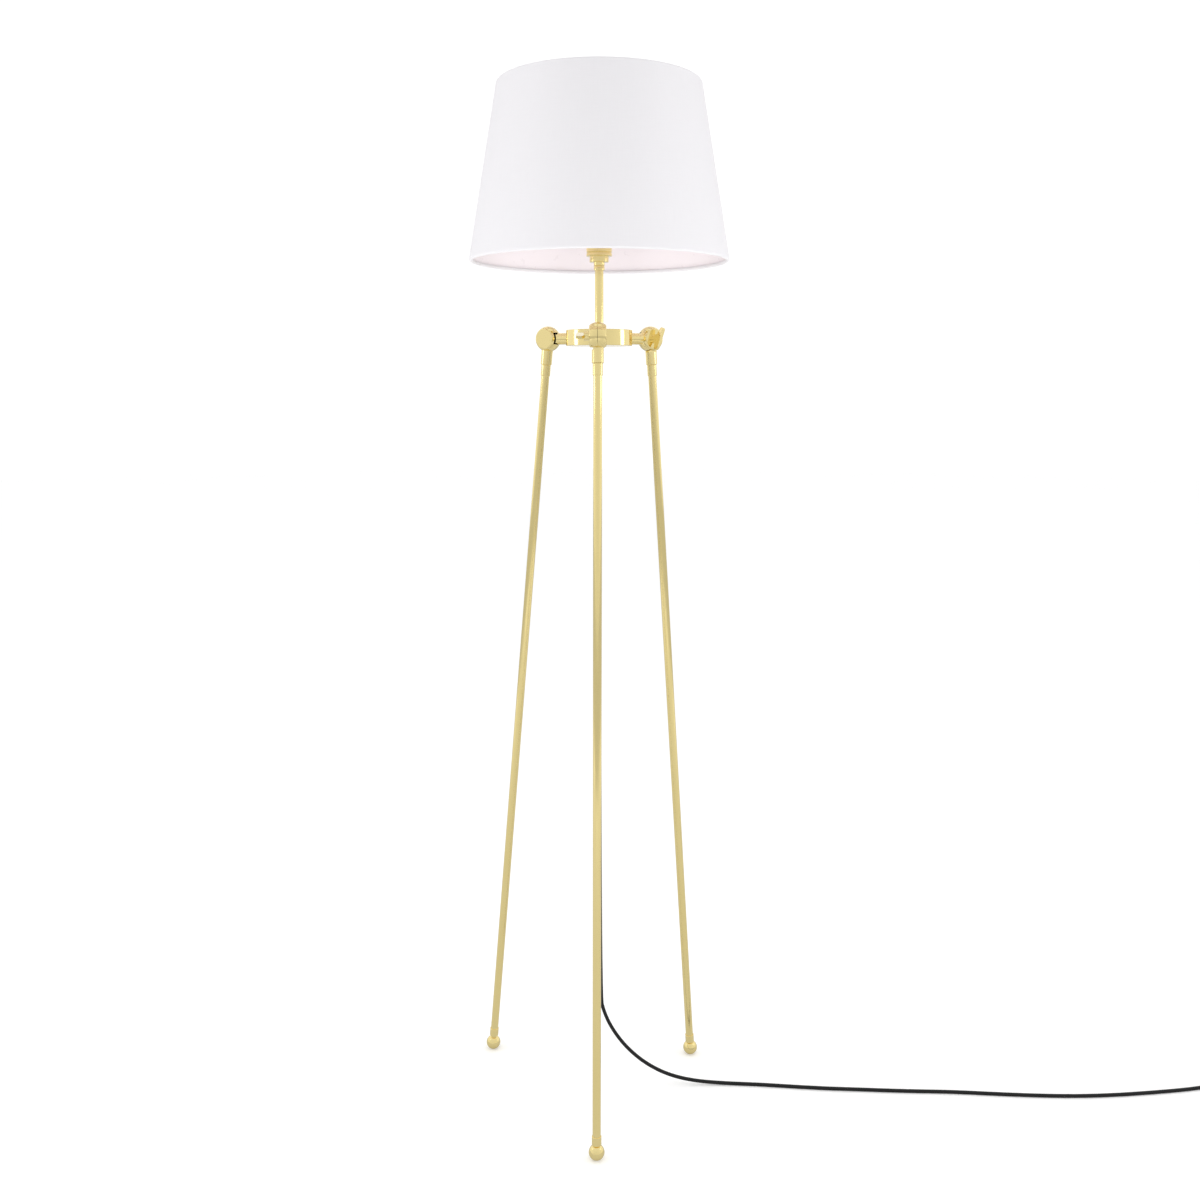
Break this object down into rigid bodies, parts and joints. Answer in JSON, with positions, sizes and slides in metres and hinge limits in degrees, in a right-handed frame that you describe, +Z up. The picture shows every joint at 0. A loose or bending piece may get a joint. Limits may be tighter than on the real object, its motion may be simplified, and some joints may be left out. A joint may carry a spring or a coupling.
{
  "type": "tripod floor lamp",
  "caption": "Floor lamp on three slim brass legs that swing on thumb-screw ball knuckles round a drum hub, with a tapered white drum shade and a black cord with a foot switch.",
  "frame": {"origin": "on the floor, under the axis of the stem and the hub", "axes": "+Z up along the stem; the front leg stands towards -Y; the cord runs off to +X"},
  "size_m": [1.5532, 0.3912, 1.582],
  "materials": {
    "polished_brass": "polished",
    "shade_fabric": "matt weave",
    "shade_liner": "satin",
    "white_wire": "white enamel",
    "black_flex": "satin",
    "black_plastic": "fine grain",
    "black_button": "gloss",
    "nickel": "nickel plate",
    "zinc_steel": "zinc plate",
    "frosted_glass": "frosted",
    "ceramic": "glazed ceramic",
    "fibre_washer": "fibre"
  },
  "bodies": {
    "root": {"arm_bolts": "zinc_steel", "bulb_cap": "nickel", "bulb_globe": "frosted_glass", "cord_coil": "black_flex", "cord_grip": "black_plastic", "cord_lead": "black_flex", "cord_main": "black_flex", "cord_tail": "black_flex", "cover_screws": "polished_brass", "finial": "polished_brass", "holder_cap": "polished_brass", "holder_contacts": "polished_brass", "holder_insulator": "ceramic", "holder_skirt": "polished_brass", "hub_body": "polished_brass", "hub_cover": "polished_brass", "inner_flex": "black_flex", "knuckle_hub_front": "polished_brass", "knuckle_hub_left": "polished_brass", "knuckle_hub_right": "polished_brass", "m10_locknuts": "zinc_steel", "plug_body": "black_plastic", "plug_pins": "nickel", "plug_relief": "black_flex", "shade_bottom_wire": "white_wire", "shade_carrier": "white_wire", "shade_fabric": "shade_fabric", "shade_liner": "shade_liner", "shade_rings": "polished_brass", "shade_spider": "white_wire", "shade_top_wire": "white_wire", "stem_nipples": "zinc_steel", "stem_tube": "polished_brass", "strain_relief": "black_plastic", "switch_base": "black_plastic", "switch_block": "black_plastic", "switch_cover": "black_plastic", "switch_screws": "zinc_steel"},
    "leg_front": {"knuckle_leg_front": "polished_brass", "pivot_washer_front": "fibre_washer", "leg_sleeve_front": "polished_brass", "leg_tube_front": "polished_brass", "leg_ferrule_front": "polished_brass", "ball_foot_front": "polished_brass"},
    "wing_front": {"wing_screw_front": "polished_brass"},
    "leg_right": {"knuckle_leg_right": "polished_brass", "pivot_washer_right": "fibre_washer", "leg_sleeve_right": "polished_brass", "leg_tube_right": "polished_brass", "leg_ferrule_right": "polished_brass", "ball_foot_right": "polished_brass"},
    "wing_right": {"wing_screw_right": "polished_brass"},
    "leg_left": {"knuckle_leg_left": "polished_brass", "pivot_washer_left": "fibre_washer", "leg_sleeve_left": "polished_brass", "leg_tube_left": "polished_brass", "leg_ferrule_left": "polished_brass", "ball_foot_left": "polished_brass"},
    "wing_left": {"wing_screw_left": "polished_brass"},
    "button": {"switch_button": "black_button"}
  },
  "joints": [
    {"name": "leg_front_swing", "type": "hinge", "parent": "root", "child": "leg_front", "pos_m": [-0.00187, -0.08948, 1.222], "axis": [-0.9998, 0.0209, 0], "range_deg": [-4.71, 10.29]},
    {"name": "leg_right_swing", "type": "hinge", "parent": "root", "child": "leg_right", "pos_m": [0.07751, 0.04475, 1.222], "axis": [0.5, -0.866, 0], "range_deg": [-4.46, 10.54]},
    {"name": "leg_left_swing", "type": "hinge", "parent": "root", "child": "leg_left", "pos_m": [-0.07751, 0.04475, 1.222], "axis": [0.5, 0.866, 0], "range_deg": [-5.97, 9.03]},
    {"name": "wing_front_turn", "type": "hinge", "parent": "leg_front", "child": "wing_front", "pos_m": [-0.00187, -0.08948, 1.222], "axis": [-0.9998, 0.0209, 0], "range_deg": [0, 360]},
    {"name": "wing_right_turn", "type": "hinge", "parent": "leg_right", "child": "wing_right", "pos_m": [0.07751, 0.04475, 1.222], "axis": [0.5, -0.866, 0], "range_deg": [0, 360]},
    {"name": "wing_left_turn", "type": "hinge", "parent": "leg_left", "child": "wing_left", "pos_m": [-0.07751, 0.04475, 1.222], "axis": [0.5, 0.866, 0], "range_deg": [0, 360]},
    {"name": "switch_press", "type": "slide", "parent": "root", "child": "button", "axis": [0, 0, -1], "range_m": [0, 0.003], "stiffness_N_per_m": 1500}
  ]
}
